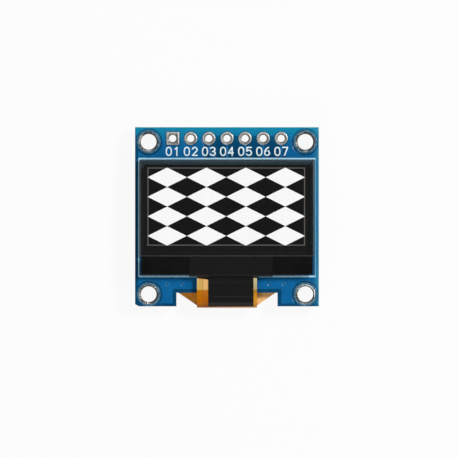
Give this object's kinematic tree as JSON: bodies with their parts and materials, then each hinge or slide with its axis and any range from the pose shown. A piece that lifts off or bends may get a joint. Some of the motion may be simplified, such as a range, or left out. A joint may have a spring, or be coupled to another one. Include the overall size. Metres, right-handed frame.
{
  "type": "small oled module",
  "caption": "Small glass display panel on a blue circuit board with a folded flex cable, corner mounting holes and a row of header holes.",
  "frame": {"origin": "centre of the four mounting holes, on the circuit board's rear face", "axes": "+Z out of the display, +Y towards the header row, +X to the right as the display is read"},
  "size_m": [0.0258, 0.0253, 0.0037],
  "materials": {
    "board_blue": "blue solder mask over glass fibre board",
    "tinned_copper": "tinned copper, slightly uneven",
    "white_ink": "white printed ink",
    "tape_white": "double-sided foam tape",
    "clear_glass": "clear thin glass, ground edges",
    "desiccant_white": "pressed desiccant sheet",
    "sealant_dark": "dark cured sealant",
    "display_black": "black unlit display layers",
    "lit_white": "lit white pixels",
    "lit_grey": "one lit line of pixels",
    "front_glass": "clear thin glass, ground edges",
    "smoked_film": "smoke-grey polarizing film",
    "silicon_grey": "polished silicon",
    "bond_amber": "cured conductive film",
    "polyimide_amber": "amber polyimide film",
    "track_copper": "copper tracks under amber cover film",
    "film_black": "glossy black film",
    "tape_black": "satin black tape",
    "solder_silver": "bright solder",
    "capacitor_tan": "tan ceramic with tinned ends",
    "resistor_black": "black glazed top with tinned ends",
    "epoxy_black": "black moulded epoxy",
    "lead_tin": "tinned leads"
  },
  "bodies": {
    "root": {"printed_circuit_board": "board_blue", "front_silkscreen": "white_ink", "mounting_ring_top_left": "tinned_copper", "mounting_ring_top_right": "tinned_copper", "mounting_ring_bottom_left": "tinned_copper", "mounting_ring_bottom_right": "tinned_copper", "header_pad_1": "tinned_copper", "header_pad_2": "tinned_copper", "header_pad_3": "tinned_copper", "header_pad_4": "tinned_copper", "header_pad_5": "tinned_copper", "header_pad_6": "tinned_copper", "header_pad_7": "tinned_copper", "panel_tape": "tape_white", "cap_glass": "clear_glass", "desiccant_sheet": "desiccant_white", "edge_sealant": "sealant_dark", "display_layers": "display_black", "lit_lozenges": "lit_white", "lit_border": "lit_grey", "front_glass": "front_glass", "polarizer": "smoked_film", "driver_chip": "silicon_grey", "bond_film": "bond_amber", "flex_film": "polyimide_amber", "flex_tracks": "track_copper", "ledge_film": "film_black", "light_tape": "tape_black", "flex_pads": "tinned_copper", "flex_solder": "solder_silver", "large_capacitor_1": "capacitor_tan", "large_capacitor_2": "capacitor_tan", "large_capacitor_3": "capacitor_tan", "small_capacitor_1": "capacitor_tan", "small_capacitor_2": "capacitor_tan", "small_capacitor_3": "capacitor_tan", "small_capacitor_4": "capacitor_tan", "resistor_1": "resistor_black", "resistor_2": "resistor_black", "resistor_3": "resistor_black", "resistor_4": "resistor_black", "resistor_5": "resistor_black", "resistor_6": "resistor_black", "resistor_7": "resistor_black", "resistor_8": "resistor_black", "regulator_body": "epoxy_black", "regulator_leads": "lead_tin", "diode_body": "epoxy_black", "diode_leads": "lead_tin", "chip_pads": "tinned_copper", "chip_solder": "solder_silver"}
  },
  "joints": []
}
